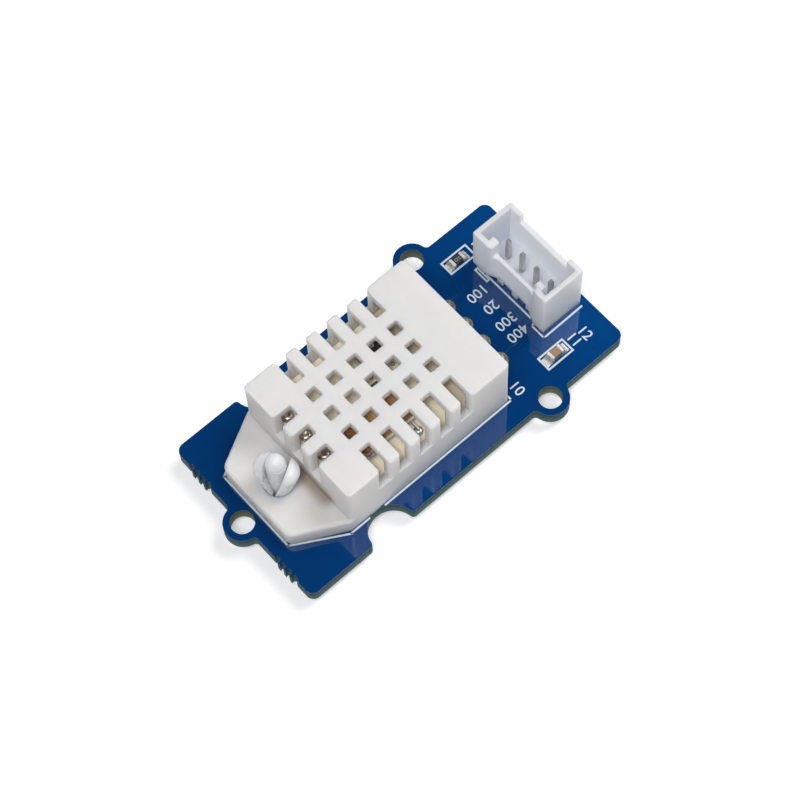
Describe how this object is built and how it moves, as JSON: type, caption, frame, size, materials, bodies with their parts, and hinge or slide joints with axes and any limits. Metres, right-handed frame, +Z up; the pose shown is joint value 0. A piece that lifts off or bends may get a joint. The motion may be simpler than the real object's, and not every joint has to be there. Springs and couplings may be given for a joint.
{
  "type": "temperature and humidity sensor module",
  "caption": "Small circuit board with mounting ears, a vented white sensor housing held by a split push rivet, and a shrouded pin socket for a cable.",
  "frame": {"origin": "middle of the module's outline, at the height of the rivet's head and the socket pins' ends on which it rests", "axes": "+X along the board towards the cable socket, +Y across the board towards the resistor, +Z up out of the sensor's vented face"},
  "size_m": [0.0419, 0.0238, 0.0107],
  "materials": {
    "board": "glossy solder mask on glass fibre laminate",
    "housing": "satin moulded",
    "back_cover": "satin moulded",
    "inner_board": "glossy laminate",
    "ceramic": "ceramic plate",
    "humidity_film": "printed film",
    "bead_resin": "dipped resin",
    "lead_wire": "tinned",
    "solder": "bright tin solder",
    "chip_resin": "moulded resin",
    "resistor_black": "glazed",
    "capacitor_tan": "fired ceramic",
    "end_cap": "plated",
    "pin_metal": "tinned",
    "socket": "smooth moulded",
    "rivet": "smooth moulded",
    "rivet_pin": "smooth moulded"
  },
  "bodies": {
    "module": {"capacitor_body": "capacitor_tan", "capacitor_cap_1": "end_cap", "capacitor_cap_2": "end_cap", "capacitor_solder_1": "solder", "capacitor_solder_2": "solder", "controller_chip": "chip_resin", "controller_leads_inner": "lead_wire", "controller_leads_outer": "lead_wire", "humidity_film": "humidity_film", "humidity_lead_1": "lead_wire", "humidity_lead_2": "lead_wire", "humidity_plate": "ceramic", "humidity_solder_1": "solder", "humidity_solder_2": "solder", "inner_resistor_1": "resistor_black", "inner_resistor_2": "resistor_black", "inner_solder_1": "solder", "inner_solder_2": "solder", "inner_solder_3": "solder", "inner_solder_4": "solder", "main_board": "board", "resistor_body": "resistor_black", "resistor_cap_1": "end_cap", "resistor_cap_2": "end_cap", "resistor_solder_1": "solder", "resistor_solder_2": "solder", "rivet_sleeve": "rivet", "sensor_back_cover": "back_cover", "sensor_circuit_board": "inner_board", "sensor_pin_1": "pin_metal", "sensor_pin_2": "pin_metal", "sensor_pin_3": "pin_metal", "sensor_pin_4": "pin_metal", "sensor_shell": "housing", "sensor_solder_1": "solder", "sensor_solder_2": "solder", "sensor_solder_3": "solder", "sensor_solder_4": "solder", "socket_housing": "socket", "socket_pin_1": "pin_metal", "socket_pin_2": "pin_metal", "socket_pin_3": "pin_metal", "socket_pin_4": "pin_metal", "socket_solder_1": "solder", "socket_solder_2": "solder", "socket_solder_3": "solder", "socket_solder_4": "solder", "thermistor_bead": "bead_resin", "thermistor_lead_1": "lead_wire", "thermistor_lead_2": "lead_wire"},
    "centre_pin": {"rivet_pin": "rivet_pin"}
  },
  "joints": [
    {"name": "rivet_pin_pull", "type": "slide", "parent": "module", "child": "centre_pin", "axis": [0, 0, -1], "range_m": [0, 0.0035]}
  ]
}
